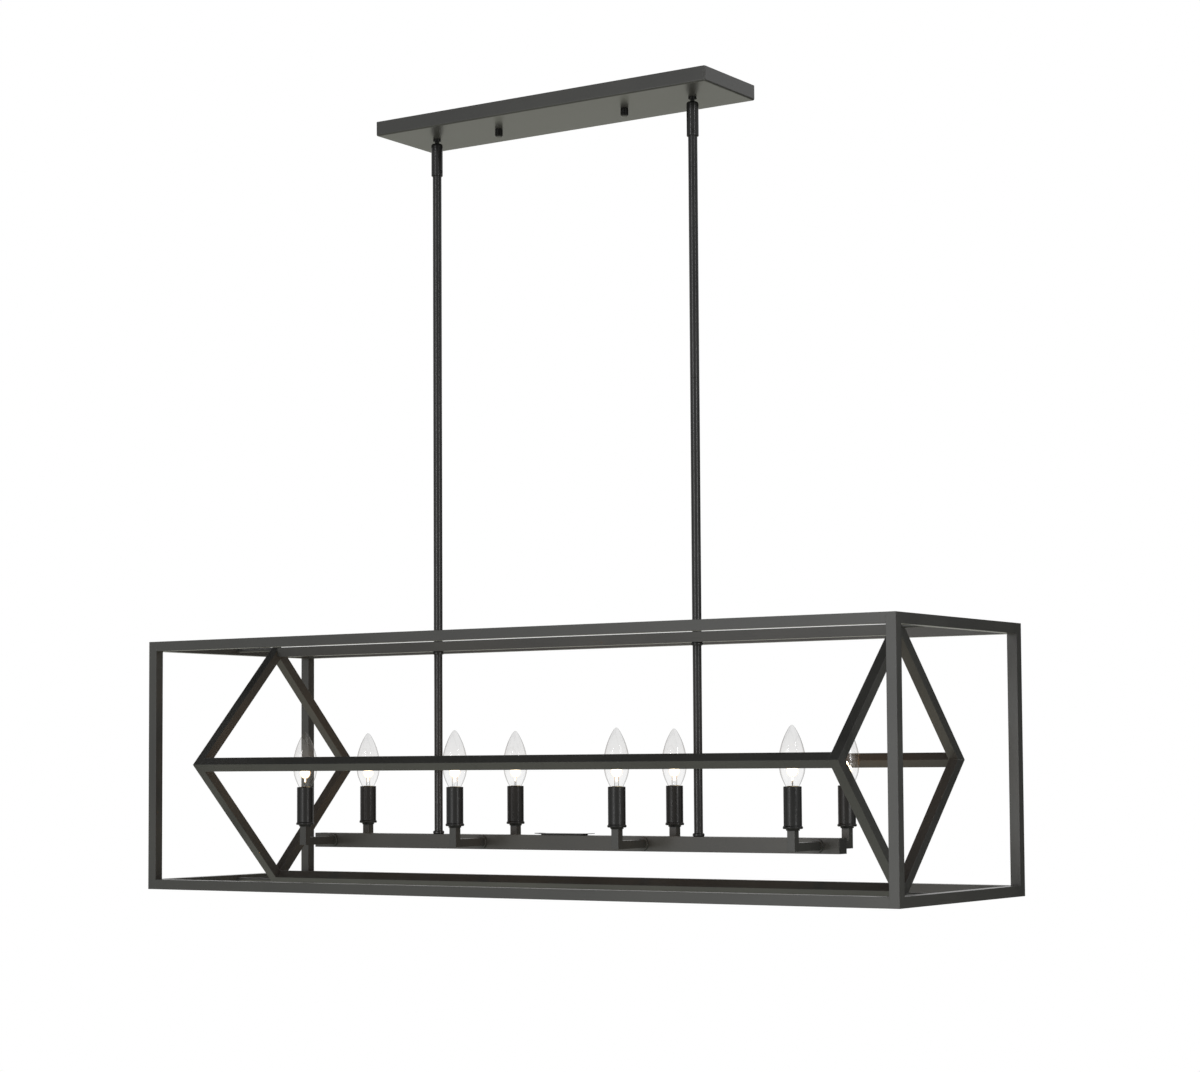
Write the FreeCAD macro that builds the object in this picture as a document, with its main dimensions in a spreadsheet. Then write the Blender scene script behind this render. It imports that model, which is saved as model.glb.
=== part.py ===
import FreeCAD, Part
import math
import os
import Sketcher

# Linear island pendant: a ceiling canopy with two ball swivels carries two stems.  The stems hold
# an inner prism of square tube, a rectangular cage round it and a light bar with eight candle lamps.
# Frame: millimetres, +Z up, X along the length, Y from the front (-) to the back (+).  The origin is
# on the ceiling plane at the middle of the canopy, so the whole fixture hangs below z = 0.

os.makedirs("parts", exist_ok=True)
doc = FreeCAD.newDocument("island_pendant")
sheet = doc.addObject("Spreadsheet::Sheet", "Sizes")
sheet.Label = "Sizes"

SIZES = [
    ("center_drop", 925.0, "ceiling to the middle of the cage"),
    ("cage_length", 1219.0, "outside length of the cage"),
    ("cage_side", 359.0, "outside width and height of the cage"),
    ("tube_size", 14.0, "square tube of the cage and the prism"),
    ("tube_wall", 1.2, "wall of that tube"),
    ("prism_inset", 83.3, "outer face of a diamond inside the cage's end"),
    ("apex_gap", 2.44046, "corner of a diamond inside the face of the cage"),
    ("top_rail_inset", 12.3, "axis of the flat top rail below the top of the cage"),
    ("spacer_size", 5.0, "diameter of the spacer pins"),
    ("spacer_inset", 8.0, "axis of a spacer pin inside the face of the cage"),
    ("bar_length", 872.4, "light bar over its end caps"),
    ("bar_size", 20.6, "square tube of the light bar"),
    ("bar_wall", 1.5, "wall of the light bar"),
    ("bar_drop", 110.9, "axis of the light bar below the middle"),
    ("cap_plate", 1.4, "visible plate of an end cap"),
    ("cap_plug", 8.0, "depth of the plug of an end cap"),
    ("cover_length", 90.0, "splice cover over its wings"),
    ("cover_body", 66.0, "seated part of the splice cover"),
    ("cover_width", 16.0, "width of the splice cover"),
    ("cover_rise", 2.4, "height of the splice cover"),
    ("lamp_pitch", 269.0, "spacing of the lamp pairs"),
    ("arm_size", 11.0, "square tube of an arm"),
    ("arm_wall", 1.0, "wall of an arm"),
    ("arm_reach", 73.0, "lamp axis from the axis of the bar"),
    ("arm_top", 89.6, "top of an arm below the middle"),
    ("collar_size", 19.0, "diameter of an arm collar"),
    ("collar_depth", 2.6, "thickness of an arm collar"),
    ("wire_hole", 7.0, "diameter of the wire holes"),
    ("cup_foot", 18.0, "diameter of the cup foot"),
    ("cup_lip", 25.4, "diameter of the cup lip"),
    ("cup_foot_height", 2.2, "height of the cup foot"),
    ("cup_height", 6.2, "height of the whole cup"),
    ("cup_floor", 3.6, "floor of the cup above its foot"),
    ("sleeve_size", 23.7, "outside diameter of a candle sleeve"),
    ("sleeve_wall", 1.2, "wall of a candle sleeve"),
    ("sleeve_length", 53.0, "length of a candle sleeve"),
    ("socket_size", 20.4, "outside diameter of a lamp socket"),
    ("socket_length", 47.0, "length of a lamp socket"),
    ("screw_size", 11.9, "diameter of the bulb's screw shell"),
    ("screw_length", 15.0, "length of the screw shell"),
    ("bulb_size", 34.5, "largest diameter of the bulb"),
    ("bulb_height", 80.5, "height of the glass"),
    ("bulb_neck", 14.8, "diameter of the glass at its neck"),
    ("glass_wall", 0.8, "thickness of the glass"),
    ("neck_gap", 0.6, "foot of the glass above the sleeve"),
    ("contact_height", 4.6, "contact of the base below the shell"),
    ("filament_spread", 7.2, "distance between the filament leads"),
    ("filament_rise", 42.0, "top of the filament above the neck"),
    ("filament_wire", 0.8, "diameter of the filament and its leads"),
    ("mount_rise", 17.0, "height of the glass mount in the bulb"),
    ("rest_gap", 0.1, "gap under a loose piece at rest"),
    ("slip", 0.3, "clearance between pieces that come apart"),
    ("running", 0.05, "radial clearance of a running fit"),
    ("stem_spacing", 435.0, "distance between the stems"),
    ("stem_size", 12.7, "diameter of the outer stems"),
    ("inner_stem_size", 12.0, "diameter of the stems inside the cage"),
    ("nipple_size", 9.9, "diameter of the threaded nipples"),
    ("nipple_fit", 0.1, "clearance round a nipple"),
    ("nipple_length", 46.0, "length of a nipple"),
    ("joint_drop", 407.0, "joint of the outer stems below the ceiling"),
    ("ring_size", 16.0, "diameter of a stem ring"),
    ("ring_height", 4.5, "height of a stem ring"),
    ("pivot_drop", 33.0, "ball centres below the ceiling"),
    ("ball_size", 12.6, "diameter of a swivel ball"),
    ("neck_size", 5.8, "diameter of the neck over the ball"),
    ("bead_size", 11.4, "diameter of the bead under the canopy"),
    ("bead_height", 4.0, "height of that bead"),
    ("thread_size", 9.6, "diameter of the swivel thread"),
    ("swivel_size", 16.5, "outside diameter of a swivel sleeve"),
    ("swivel_rise", 5.5, "top of a swivel sleeve above the ball centre"),
    ("swivel_length", 47.5, "length of a swivel sleeve"),
    ("swivel_mouth", 11.2, "diameter of the mouth round the neck"),
    ("nut_flats", 14.0, "width of a lock nut over its flats"),
    ("nut_height", 4.5, "height of a lock nut"),
    ("bar_nut_height", 3.2, "height of a lock nut in the light bar"),
    ("canopy_length", 555.0, "length of the canopy"),
    ("canopy_width", 133.4, "width of the canopy"),
    ("canopy_height", 20.7, "height of the canopy"),
    ("canopy_sheet", 1.2, "sheet of the canopy"),
    ("canopy_round", 2.6, "outside radius of the canopy's lower edge"),
    ("strap_length", 260.0, "length of the ceiling strap"),
    ("strap_width", 25.0, "width of the ceiling strap"),
    ("strap_sheet", 2.0, "thickness of the ceiling strap"),
    ("box_spacing", 79.4, "middle of the two box slots, apart"),
    ("box_slot", 14.3, "length of a box slot over its ends"),
    ("box_slot_width", 4.8, "width of a box slot"),
    ("stud_spacing", 214.0, "distance between the canopy studs"),
    ("stud_size", 4.2, "diameter of a canopy stud"),
    ("stud_reach", 29.0, "end of a stud below the ceiling"),
    ("cap_nut_size", 11.0, "diameter of a knurled cap nut"),
    ("cap_nut_height", 11.0, "height of a knurled cap nut"),
    ("knurl_depth", 0.45, "depth of the knurl grooves"),
    ("set_screw_size", 4.0, "diameter of a swivel set screw"),
    ("set_screw_drop", 36.0, "set screw below the ball centre"),
]
for row, (alias, value, note) in enumerate(SIZES, start=1):
    sheet.set("A%d" % row, note)
    sheet.set("B%d" % row, "%g" % value)
    sheet.setAlias("B%d" % row, alias)
doc.recompute()


def size(alias):
    """Value of one named size."""
    return float(sheet.get(alias))


def bound(text):
    """Turns named sizes in a formula into references to the sheet."""
    for alias in sorted((s[0] for s in SIZES), key=len, reverse=True):
        text = text.replace("{" + alias + "}", "Sizes." + alias)
    return text


worksheet = doc.addObject("Spreadsheet::Sheet", "Worksheet")


def value_of(text):
    """Present value of a formula, used as the first position of a sketch point."""
    for alias in sorted((s[0] for s in SIZES), key=len, reverse=True):
        text = text.replace("{" + alias + "}", "(%r)" % size(alias))
    worksheet.set("A1", "=" + text)
    worksheet.recompute()
    return float(worksheet.get("A1"))


EXPORTED = []


def node(obj, name):
    """Marks an object as one exported piece."""
    obj.Label = name
    EXPORTED.append(obj)
    return obj


def place(obj, x="0", y="0", z="0", axis=(0, 0, 1), angle=0.0):
    """Places an object by formulas for x, y and z, turned about one axis."""
    obj.Placement = FreeCAD.Placement(FreeCAD.Vector(), FreeCAD.Rotation(FreeCAD.Vector(*axis), angle))
    obj.setExpression("Placement.Base.x", bound(x))
    obj.setExpression("Placement.Base.y", bound(y))
    obj.setExpression("Placement.Base.z", bound(z))
    return obj


def new_body(name):
    return doc.addObject("PartDesign::Body", name)


def origin_plane(body, role):
    for feature in body.Origin.OriginFeatures:
        if feature.Role == role:
            return feature
    raise RuntimeError("no plane " + role)


def new_sketch(body, name, role="XZ_Plane"):
    sketch = body.newObject("Sketcher::SketchObject", name)
    sketch.AttachmentSupport = [(origin_plane(body, role), "")]
    sketch.MapMode = "FlatFace"
    return sketch


def polygon(sketch, points):
    """Closed outline through points given as pairs of formulas measured from the sketch origin."""
    spots = [FreeCAD.Vector(value_of(u), value_of(v), 0) for u, v in points]
    first = sketch.GeometryCount
    count = len(points)
    for i in range(count):
        sketch.addGeometry(Part.LineSegment(spots[i], spots[(i + 1) % count]), False)
    for i in range(count):
        sketch.addConstraint(Sketcher.Constraint("Coincident", first + i, 2, first + (i + 1) % count, 1))
    for i, (u, v) in enumerate(points):
        for kind, text, here in (("DistanceX", u, spots[i].x), ("DistanceY", v, spots[i].y)):
            if text == "0":
                sketch.addConstraint(Sketcher.Constraint("PointOnObject", first + i, 1, -2 if kind == "DistanceX" else -1))
            else:
                number = sketch.addConstraint(Sketcher.Constraint(kind, -1, 1, first + i, 1, here))
                sketch.setExpression("Constraints[%d]" % number, bound(text))


def circle(sketch, u, v, diameter):
    """Circle whose centre and diameter are formulas."""
    center = FreeCAD.Vector(value_of(u), value_of(v), 0)
    index = sketch.GeometryCount
    sketch.addGeometry(Part.Circle(center, FreeCAD.Vector(0, 0, 1), value_of(diameter) / 2), False)
    for kind, text, here in (("DistanceX", u, center.x), ("DistanceY", v, center.y)):
        if text == "0":
            sketch.addConstraint(Sketcher.Constraint("PointOnObject", index, 3, -2 if kind == "DistanceX" else -1))
        else:
            number = sketch.addConstraint(Sketcher.Constraint(kind, -1, 1, index, 3, here))
            sketch.setExpression("Constraints[%d]" % number, bound(text))
    number = sketch.addConstraint(Sketcher.Constraint("Diameter", index, value_of(diameter)))
    sketch.setExpression("Constraints[%d]" % number, bound(diameter))


def pad(body, sketch, length):
    """Pads a sketch by a formula, half to each side of its plane."""
    feature = body.newObject("PartDesign::Pad", sketch.Name + "_pad")
    feature.Profile = sketch
    feature.Midplane = True
    feature.setExpression("Length", bound(length))
    sketch.Visibility = False
    return feature


def cut_through(body, sketch):
    """Cuts a sketch right through the body, both ways from its plane."""
    feature = body.newObject("PartDesign::Pocket", sketch.Name + "_cut")
    feature.Profile = sketch
    feature.Type = 1
    feature.Midplane = True
    sketch.Visibility = False
    return feature


def turned(name, points):
    """Solid of revolution about Z from an outline of radius and height formulas."""
    body = new_body(name)
    sketch = new_sketch(body, name + "_outline")
    polygon(sketch, points)
    feature = body.newObject("PartDesign::Revolution", name + "_turn")
    feature.Profile = sketch
    feature.ReferenceAxis = (sketch, ["V_Axis"])
    feature.Angle = 360
    sketch.Visibility = False
    return body


def square_tube(name, length, side, wall):
    """Straight square tube along X, centred on the origin."""
    body = new_body(name)
    outline = new_sketch(body, name + "_section", "YZ_Plane")
    for half in ("(%s)/2" % side, "(%s)/2-%s" % (side, wall)):
        low = "-(%s)" % half
        polygon(outline, [(low, low), (half, low), (half, half), (low, half)])
    pad(body, outline, length)
    return body


def mitred_tube(name, length, side, wall):
    """Square tube along X with 45 degree mitres, its long face up and its short face down."""
    body = new_body(name)
    outline = new_sketch(body, name + "_side")
    long_half = "(%s)/2" % length
    short_half = "(%s)/2-%s" % (length, side)
    up = "(%s)/2" % side
    points = [("-(%s)" % long_half, up), ("-(%s)" % short_half, "-(%s)" % up),
              (short_half, "-(%s)" % up), (long_half, up)]
    polygon(outline, points)
    pad(body, outline, side)
    hollow = new_sketch(body, name + "_bore", "YZ_Plane")
    half = "(%s)/2-%s" % (side, wall)
    low = "-(%s)" % half
    polygon(hollow, [(low, low), (half, low), (half, half), (low, half)])
    cut_through(body, hollow)
    return body


def placed(name, links, x="0", y="0", z="0", axis=(0, 0, 1), angle=0.0):
    """One or more shapes gathered as one object with a placement of its own."""
    group = doc.addObject("Part::Compound", name)
    group.Links = links
    return place(group, x, y, z, axis, angle)


def mitred_frame(name, bar, side, x, turn):
    """Square frame across X: four mitred tubes with their long faces outward."""
    arms = []
    for k in range(4):
        spin = FreeCAD.Rotation(FreeCAD.Vector(1, 0, 0), turn + 90 * k)
        flat = FreeCAD.Rotation(FreeCAD.Vector(0, 0, 1), 90)
        arm = doc.addObject("Part::Compound", "%s_bar_%d" % (name, k + 1))
        arm.Links = [bar]
        arm.Placement = FreeCAD.Placement(FreeCAD.Vector(), spin.multiply(flat))
        angle = "%g" % (turn + 90 * k)
        reach = "(%s-{tube_size})/2" % side
        arm.setExpression("Placement.Base.y", bound("-(%s)*sin(%s deg)" % (reach, angle)))
        arm.setExpression("Placement.Base.z", bound("(%s)*cos(%s deg)" % (reach, angle)))
        arms.append(arm)
    return node(placed(name, arms, x=x, z="-{center_drop}"), name)


# ---------------------------------------------------------------- the outer cage
# Two square end frames of mitred tube, joined by four long rails that butt between them.
cage_bar = mitred_tube("cage_bar", "{cage_side}", "{tube_size}", "{tube_wall}")
cage_face = "({cage_length}-{tube_size})/2"
mitred_frame("cage_end_left", cage_bar, "{cage_side}", "-" + cage_face, 0)
mitred_frame("cage_end_right", cage_bar, "{cage_side}", cage_face, 0)
cage_rail = square_tube("cage_rail", "{cage_length}-2*{tube_size}", "{tube_size}", "{tube_wall}")
side_reach = "({cage_side}-{tube_size})/2"
for level, up in (("top", "+"), ("bottom", "-")):
    for face, out in (("front", "-"), ("back", "")):
        name = "cage_rail_%s_%s" % (level, face)
        node(placed(name, [cage_rail], y=out + side_reach, z="-{center_drop}%s%s" % (up, side_reach)), name)

# ---------------------------------------------------------------- the inner prism
# Two diamonds of mitred tube stand inside the cage.  The front, back and bottom rails lie in the
# corners of the diamonds with one edge outward; the top rail lies flat and takes the stems.
DIAMOND_SIDE = "(({cage_side}/2-{apex_gap})*sqrt(2))"
PRISM_LENGTH = "({cage_length}-2*{prism_inset})"
diamond_bar = mitred_tube("diamond_bar", DIAMOND_SIDE, "{tube_size}", "{tube_wall}")
diamond_face = "({cage_length}/2-{prism_inset}-{tube_size}/2)"
mitred_frame("diamond_left", diamond_bar, DIAMOND_SIDE, "-" + diamond_face, 45)
mitred_frame("diamond_right", diamond_bar, DIAMOND_SIDE, diamond_face, 45)
prism_rail = square_tube("prism_rail", PRISM_LENGTH + "-2*{tube_size}", "{tube_size}", "{tube_wall}")
corner = "({cage_side}/2-{apex_gap}-{tube_size}*sqrt(2)/2)"
for name, y, z in (("prism_rail_front", "-" + corner, "-{center_drop}"),
                   ("prism_rail_back", corner, "-{center_drop}"),
                   ("prism_rail_bottom", "0", "-{center_drop}-" + corner)):
    node(placed(name, [prism_rail], y=y, z=z, axis=(1, 0, 0), angle=45), name)

top_rail = square_tube("top_rail_form", PRISM_LENGTH + "-2*{tube_size}", "{tube_size}", "{tube_wall}")
stem_holes = new_sketch(top_rail, "top_rail_holes", "XY_Plane")
for side in ("-", ""):
    circle(stem_holes, side + "{stem_spacing}/2", "0", "{nipple_size}+2*{nipple_fit}")
cut_through(top_rail, stem_holes)
node(placed("prism_rail_top", [top_rail], z="{cage_side}/2-{top_rail_inset}-{center_drop}"), "prism_rail_top")

# Short round pins tie the top and bottom corners of the diamonds to the cage ends.
spacer_half = "({prism_inset}-{tube_size})/2"
spacer = turned("spacer_form", [("0", "-" + spacer_half), ("{spacer_size}/2", "-" + spacer_half),
                                ("{spacer_size}/2", spacer_half), ("0", spacer_half)])
spacer_mid = "({cage_length}-{prism_inset}-{tube_size})/2"
pins = []
for k, (x, z) in enumerate((("-", "+"), ("", "+"), ("-", "-"), ("", "-"))):
    pins.append(placed("spacer_pin_%d" % (k + 1), [spacer], x=x + spacer_mid,
                       z="-{center_drop}%s({cage_side}/2-{spacer_inset})" % z, axis=(0, 1, 0), angle=90))
node(placed("spacer_pins", pins), "spacer_pins")

# ---------------------------------------------------------------- the light bar
bar = square_tube("light_bar", "{bar_length}-2*{cap_plate}", "{bar_size}", "{bar_wall}")
side_holes = new_sketch(bar, "light_bar_side_holes", "XZ_Plane")
LAMP_X = ["-3*{lamp_pitch}/2", "-{lamp_pitch}/2", "{lamp_pitch}/2", "3*{lamp_pitch}/2"]
for x in LAMP_X:
    circle(side_holes, x, "0", "{wire_hole}")
cut_through(bar, side_holes)
top_holes = new_sketch(bar, "light_bar_top_holes", "XY_Plane")
for side in ("-", ""):
    circle(top_holes, side + "{stem_spacing}/2", "0", "{nipple_size}+2*{nipple_fit}")
slot = [("-{cover_body}/2+8", "-{cover_width}/2+4"), ("{cover_body}/2-8", "-{cover_width}/2+4"),
        ("{cover_body}/2-8", "{cover_width}/2-4"), ("-{cover_body}/2+8", "{cover_width}/2-4")]
polygon(top_holes, slot)
top_cut = bar.newObject("PartDesign::Pocket", "light_bar_top_cut")
top_cut.Profile = top_holes
top_cut.Reversed = True
top_cut.setExpression("Length", bound("{bar_size}"))
top_holes.Visibility = False
node(place(bar, z="-{center_drop}-{bar_drop}"), "light_bar")

cap = new_body("bar_cap_form")
for part, half, start, end in (("plate", "{bar_size}/2", "-{cap_plate}", "0"),
                               ("plug", "{bar_size}/2-{bar_wall}-{nipple_fit}", "-{cap_plate}-{cap_plug}",
                                "-{cap_plate}")):
    outline = new_sketch(cap, "bar_cap_" + part)
    polygon(outline, [(start, "-(%s)" % half), (end, "-(%s)" % half), (end, half), (start, half)])
    pad(cap, outline, "2*(%s)" % half)
left_cap = placed("bar_cap_left", [cap], x="-{bar_length}/2", axis=(0, 0, 1), angle=180)
right_cap = placed("bar_cap_right", [cap], x="{bar_length}/2")
node(placed("light_bar_caps", [left_cap, right_cap], z="-{center_drop}-{bar_drop}"), "light_bar_caps")

cover = new_body("splice_cover")
profile = new_sketch(cover, "splice_cover_profile")
wing = "{cover_length}/2"
seat = "{cover_body}/2"
polygon(profile, [("-(%s)" % seat, "0"), (seat, "0"), (seat + "+1.5", "{cover_rise}-0.9"),
                  (wing, "{cover_rise}-0.3"), (wing, "{cover_rise}+0.5"), (seat + "+1", "{cover_rise}"),
                  ("-(%s)-1" % seat, "{cover_rise}"), ("-(%s)" % wing, "{cover_rise}+0.5"),
                  ("-(%s)" % wing, "{cover_rise}-0.3"), ("-(%s)-1.5" % seat, "{cover_rise}-0.9")])
pad(cover, profile, "{cover_width}")
lug = new_sketch(cover, "splice_cover_lug")
polygon(lug, [("-(%s)+8.2" % seat, "-{bar_wall}-1"), ("%s-8.2" % seat, "-{bar_wall}-1"),
              ("%s-8.2" % seat, "0.2"), ("-(%s)+8.2" % seat, "0.2")])
pad(cover, lug, "{cover_width}-8.4")
node(place(cover, z="{bar_size}/2-{center_drop}-{bar_drop}"), "splice_cover")

# ---------------------------------------------------------------- arms, cups, sleeves and sockets
# An arm runs forward from the bar (local -Y) to a mitred elbow and turns up to the lamp.
arm = new_body("arm_form")
half = "{arm_size}/2"
rise = "{bar_drop}-{arm_top}"
reach = "{arm_reach}"
outer = [("-({bar_size}/2)", "-(%s)" % half), ("-({bar_size}/2)", half),
         ("-(%s-%s)" % (reach, half), half), ("-(%s-%s)" % (reach, half), rise),
         ("-(%s+%s)" % (reach, half), rise), ("-(%s+%s)" % (reach, half), "-(%s)" % half)]
inner_half = "({arm_size}/2-{arm_wall})"
inner = [("-({bar_size}/2-1)", "-(%s)" % inner_half), ("-({bar_size}/2-1)", inner_half),
         ("-(%s-%s)" % (reach, inner_half), inner_half), ("-(%s-%s)" % (reach, inner_half), rise + "+1"),
         ("-(%s+%s)" % (reach, inner_half), rise + "+1"), ("-(%s+%s)" % (reach, inner_half), "-(%s)" % inner_half)]
arm_side = new_sketch(arm, "arm_side", "YZ_Plane")
polygon(arm_side, outer)
pad(arm, arm_side, "{arm_size}")
arm_hollow = new_sketch(arm, "arm_hollow", "YZ_Plane")
polygon(arm_hollow, inner)
hollow_cut = arm.newObject("PartDesign::Pocket", "arm_hollow_cut")
hollow_cut.Profile = arm_hollow
hollow_cut.Midplane = True
hollow_cut.setExpression("Length", bound("2*%s" % inner_half))
arm_hollow.Visibility = False

collar = new_body("collar_form")
collar_disc = new_sketch(collar, "collar_disc")
circle(collar_disc, "0", "0", "{collar_size}")
pad(collar, collar_disc, "{collar_depth}")
collar_window = new_sketch(collar, "collar_window")
side = "{arm_size}/2+{nipple_fit}"
polygon(collar_window, [("-(%s)" % side, "-(%s)" % side), (side, "-(%s)" % side), (side, side),
                        ("-(%s)" % side, side)])
cut_through(collar, collar_window)

cup = turned("cup_form", [("{wire_hole}/2", "0"), ("{cup_foot}/2", "0"), ("{cup_foot}/2", "{cup_foot_height}-0.4"),
                          ("{cup_foot}/2+1.2", "{cup_foot_height}"), ("{cup_lip}/2-1.4", "{cup_foot_height}+0.5"),
                          ("{cup_lip}/2", "{cup_foot_height}+2"), ("{cup_lip}/2", "{cup_foot_height}+3.4"),
                          ("{cup_lip}/2-0.5", "{cup_height}"), ("{sleeve_size}/2+{nipple_fit}", "{cup_height}"),
                          ("{sleeve_size}/2+{nipple_fit}", "{cup_floor}"), ("{wire_hole}/2", "{cup_floor}")])

sleeve = turned("sleeve_form", [("{sleeve_size}/2-{sleeve_wall}", "0"), ("{sleeve_size}/2", "0"),
                                ("{sleeve_size}/2", "{sleeve_length}-0.6"),
                                ("{sleeve_size}/2-0.6", "{sleeve_length}"),
                                ("{sleeve_size}/2-{sleeve_wall}", "{sleeve_length}")])

bore = "{screw_size}/2+{slip}"
socket_floor = "{sleeve_length}+{neck_gap}-{screw_length}-{contact_height}-{rest_gap}"
socket = turned("socket_form", [("0", "0"), ("{socket_size}/2", "0"), ("{socket_size}/2", "6"),
                                ("{socket_size}/2-1.2", "7"), ("{socket_size}/2-1.2", "{socket_length}-5"),
                                ("{socket_size}/2", "{socket_length}-4"), ("{socket_size}/2", "{socket_length}"),
                                (bore, "{socket_length}"), (bore, socket_floor), ("0", socket_floor)])


def lamp_group(name, form, z, faces=("front", "back"), y_front="-{arm_reach}", turn=True):
    """Copies of one lamp piece at the lamps of the named faces, gathered in one node."""
    copies = []
    for face in faces:
        for k, x in enumerate(LAMP_X):
            y = y_front if face == "front" else "-(%s)" % y_front
            angle = 180 if (face == "back" and turn) else 0
            copies.append(placed("%s_%s_%d" % (name, face, k + 1), [form], x=x, y=y, z=z, angle=angle))
    return node(placed(name, copies), name)


bar_axis = "-{center_drop}-{bar_drop}"
lamp_group("arms_front", arm, bar_axis, faces=("front",), y_front="0")
lamp_group("arms_back", arm, bar_axis, faces=("back",), y_front="0")
lamp_group("arm_collars", collar, bar_axis, y_front="-({bar_size}+{collar_depth})/2")
lamp_group("lamp_cups", cup, "-{center_drop}-{arm_top}")
lamp_group("candle_sleeves", sleeve, "-{center_drop}-{arm_top}+{cup_floor}")
lamp_group("lamp_sockets", socket, "-{center_drop}-{arm_top}+{cup_floor}")

# ---------------------------------------------------------------- bulbs
# The screw shell hangs in the socket bore with a slip clearance and the glass stands on its collar.
neck_level = "-{center_drop}-{arm_top}+{cup_floor}+{sleeve_length}+{neck_gap}"
base = turned("bulb_base_form", [("0", "-{screw_length}-{contact_height}"), ("2.2", "-{screw_length}-{contact_height}"),
                                 ("3", "-{screw_length}-3.6"), ("{screw_size}/2-1.4", "-{screw_length}-3"),
                                 ("{screw_size}/2", "-{screw_length}-1.5"), ("{screw_size}/2", "-4.4"),
                                 ("{bulb_neck}/2-0.3", "-3.4"), ("{bulb_neck}/2-0.3", "0"), ("0", "0")])

# Outline of the glass as fractions of its height and of its largest radius above the neck.
GLASS = [(0.08, 0.10), (0.20, 0.55), (0.31, 0.90), (0.42, 1.0), (0.55, 0.915), (0.70, 0.62),
         (0.84, 0.20), (0.94, -0.28)]


def glass_shape():
    """Torpedo-shaped shell of glass, open at the neck."""
    neck = size("bulb_neck") / 2
    swell = size("bulb_size") / 2 - neck
    tall = size("bulb_height")
    wall = size("glass_wall")
    solids = []
    for offset in (0.0, wall):
        spots = [FreeCAD.Vector(neck - offset, 0, 0)]
        for level, share in GLASS:
            spots.append(FreeCAD.Vector(neck + swell * share - offset, 0, tall * level))
        spots.append(FreeCAD.Vector(0, 0, tall - offset))
        curve = Part.BSplineCurve()
        curve.interpolate(spots, InitialTangent=FreeCAD.Vector(0, 0, 1), FinalTangent=FreeCAD.Vector(-1, 0, 0.3))
        foot = FreeCAD.Vector(0, 0, 0)
        edges = [Part.makeLine(foot, spots[0]), curve.toShape(), Part.makeLine(spots[-1], foot)]
        face = Part.Face(Part.Wire(edges))
        solids.append(face.revolve(FreeCAD.Vector(0, 0, 0), FreeCAD.Vector(0, 0, 1), 360))
    return solids[0].cut(solids[1])


glass = doc.addObject("Part::Feature", "bulb_glass_form")
glass.Shape = glass_shape()
glass_mount = turned("glass_mount_form", [("0", "0"), ("2.5", "0"), ("1.9", "3"), ("1.3", "6"),
                                          ("1.3", "{mount_rise}-2"), ("2.1", "{mount_rise}-1.2"),
                                          ("2.1", "{mount_rise}-0.4"), ("1.2", "{mount_rise}"), ("0", "{mount_rise}")])


def filament_shape():
    """Two upright leads joined by the arch of the filament."""
    half = size("filament_spread") / 2
    shoulder = size("filament_rise") - half
    foot = FreeCAD.Vector(-half, 0, 0)
    left = FreeCAD.Vector(-half, 0, shoulder)
    right = FreeCAD.Vector(half, 0, shoulder)
    arch = Part.Arc(left, FreeCAD.Vector(0, 0, shoulder + half), right).toShape()
    path = Part.Wire([Part.makeLine(foot, left), arch, Part.makeLine(right, FreeCAD.Vector(half, 0, 0))])
    section = Part.Wire([Part.makeCircle(size("filament_wire") / 2, foot, FreeCAD.Vector(0, 0, 1))])
    return path.makePipeShell([section], True, True)


filament = doc.addObject("Part::Feature", "filament_form")
filament.Shape = filament_shape()
for face in ("front", "back"):
    for k, x in enumerate(LAMP_X):
        y = "-{arm_reach}" if face == "front" else "{arm_reach}"
        for piece, forms in (("base", [base, glass_mount, filament]), ("glass", [glass])):
            name = "bulb_%s_%s_%d" % (piece, face, k + 1)
            node(placed(name, forms, x=x, y=y, z=neck_level), name)

# ---------------------------------------------------------------- stems
stem_bore = "{nipple_size}/2+{nipple_fit}"
bar_top = "-{center_drop}-{bar_drop}+{bar_size}/2"
rail_top = "-{center_drop}+{cage_side}/2-{top_rail_inset}+{tube_size}/2"
rail_low = "-{center_drop}+{cage_side}/2-{top_rail_inset}-{tube_size}/2"
stem_high = "-{pivot_drop}-{ball_size}/2-3"


def pipe(name, outer_size, low, high):
    """Stem: a plain tube between two heights with a small break on its outer edges."""
    edge = "%s/2" % outer_size
    return turned(name, [(stem_bore, low), (edge + "-0.3", low), (edge, low + "+0.3"), (edge, high + "-0.3"),
                         (edge + "-0.3", high), (stem_bore, high)])


stems = [("stem_upper", pipe("stem_upper_form", "{stem_size}", "-{joint_drop}", stem_high)),
         ("stem_middle", pipe("stem_middle_form", "{stem_size}", rail_top, "-{joint_drop}")),
         ("stem_inner", pipe("stem_inner_form", "{inner_stem_size}", bar_top, rail_low))]
for name, form in stems:
    for side, x in (("left", "-{stem_spacing}/2"), ("right", "{stem_spacing}/2")):
        node(placed("%s_%s" % (name, side), [form], x=x), "%s_%s" % (name, side))

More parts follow.
